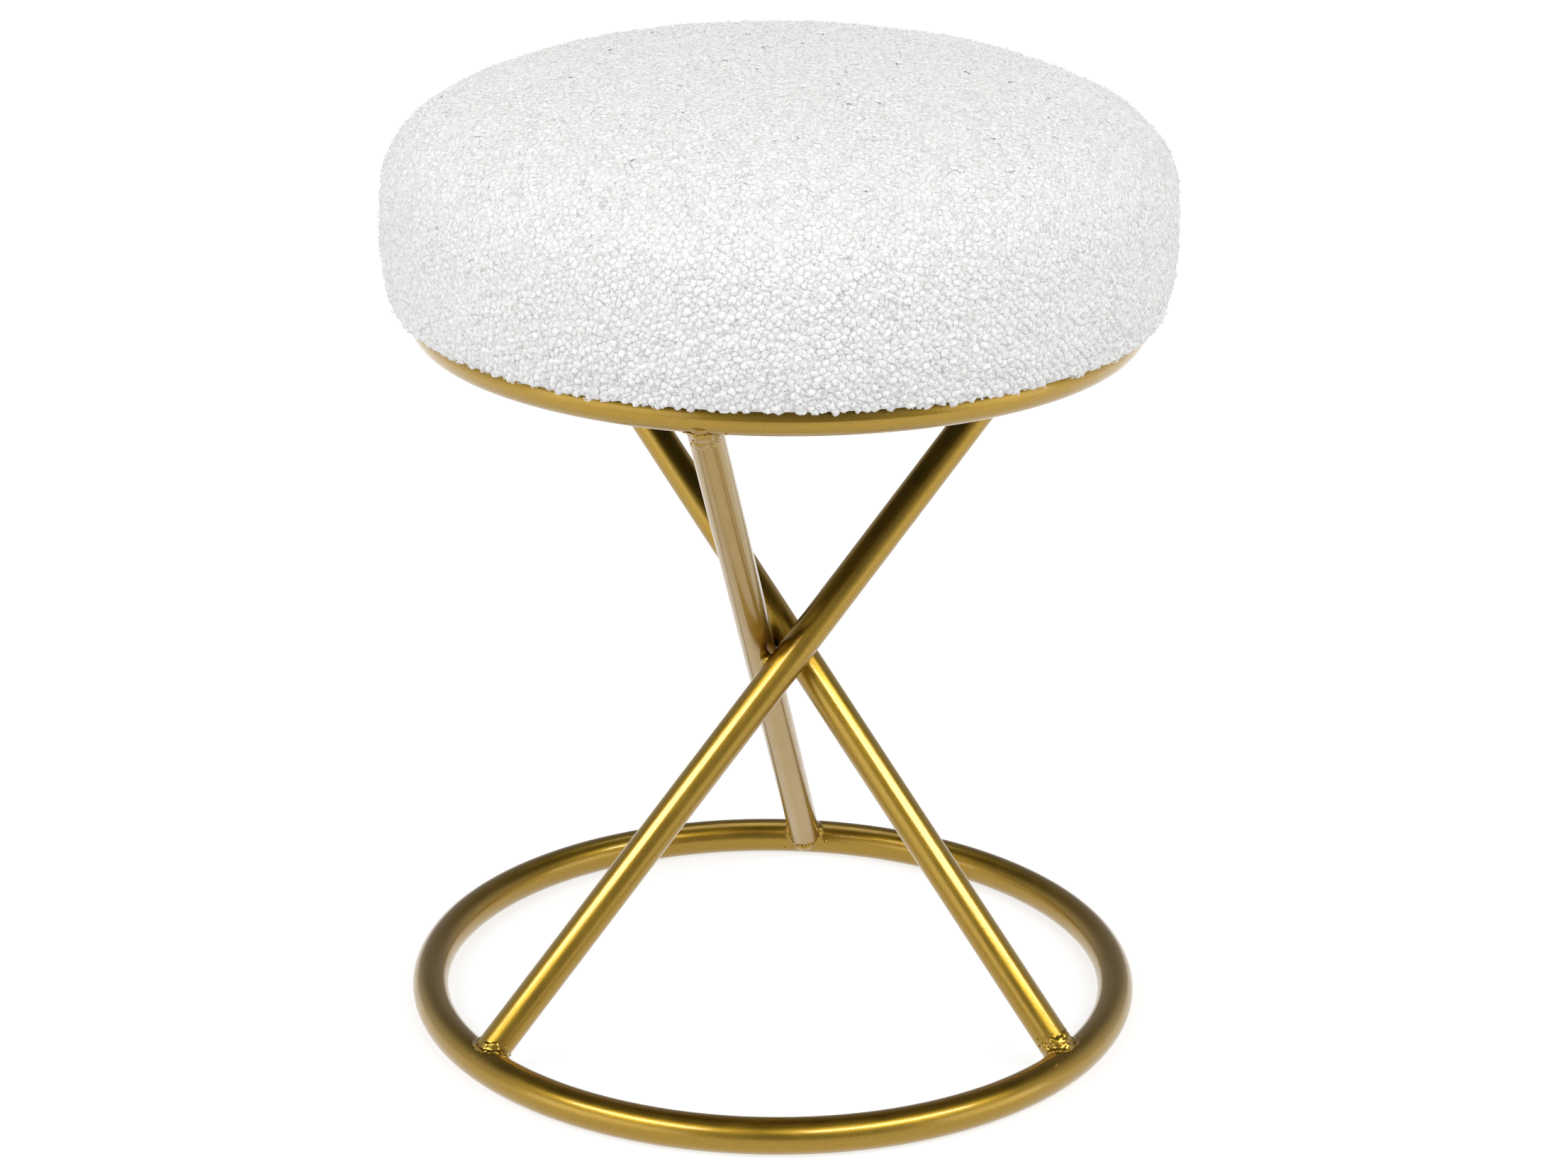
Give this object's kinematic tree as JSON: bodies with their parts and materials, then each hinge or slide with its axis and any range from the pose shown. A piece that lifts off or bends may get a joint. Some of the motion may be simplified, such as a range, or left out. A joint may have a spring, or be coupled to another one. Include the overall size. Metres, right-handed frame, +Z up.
{
  "type": "vanity stool",
  "caption": "Low round stool: drum-shaped boucle seat on a ring of tube, carried by crossing straight tubes that are welded to a floor ring.",
  "frame": {"origin": "on the floor, at the middle of the floor ring", "axes": "+Z up, the front towards -Y, +X to the right of someone who faces the stool's front"},
  "size_m": [0.34, 0.34, 0.436],
  "materials": {
    "gold_paint": "satin",
    "zinc_steel": "satin",
    "plywood": "matte",
    "foam": "matte",
    "wadding": "matte",
    "boucle": "matte",
    "dust_cloth": "matte"
  },
  "bodies": {
    "root": {"base_ring": "gold_paint", "leg_1": "gold_paint", "leg_2": "gold_paint", "leg_3": "gold_paint", "seat_ring": "gold_paint", "foot_welds": "gold_paint", "head_welds": "gold_paint", "cross_tacks": "gold_paint", "seat_tabs": "gold_paint", "tab_welds": "gold_paint", "seat_screws": "zinc_steel", "screw_washers": "zinc_steel", "tee_nuts": "zinc_steel", "seat_board": "plywood", "seat_foam": "foam", "seat_wadding": "wadding", "seat_cover": "boucle", "dust_cover": "dust_cloth", "staples": "zinc_steel"}
  },
  "joints": []
}
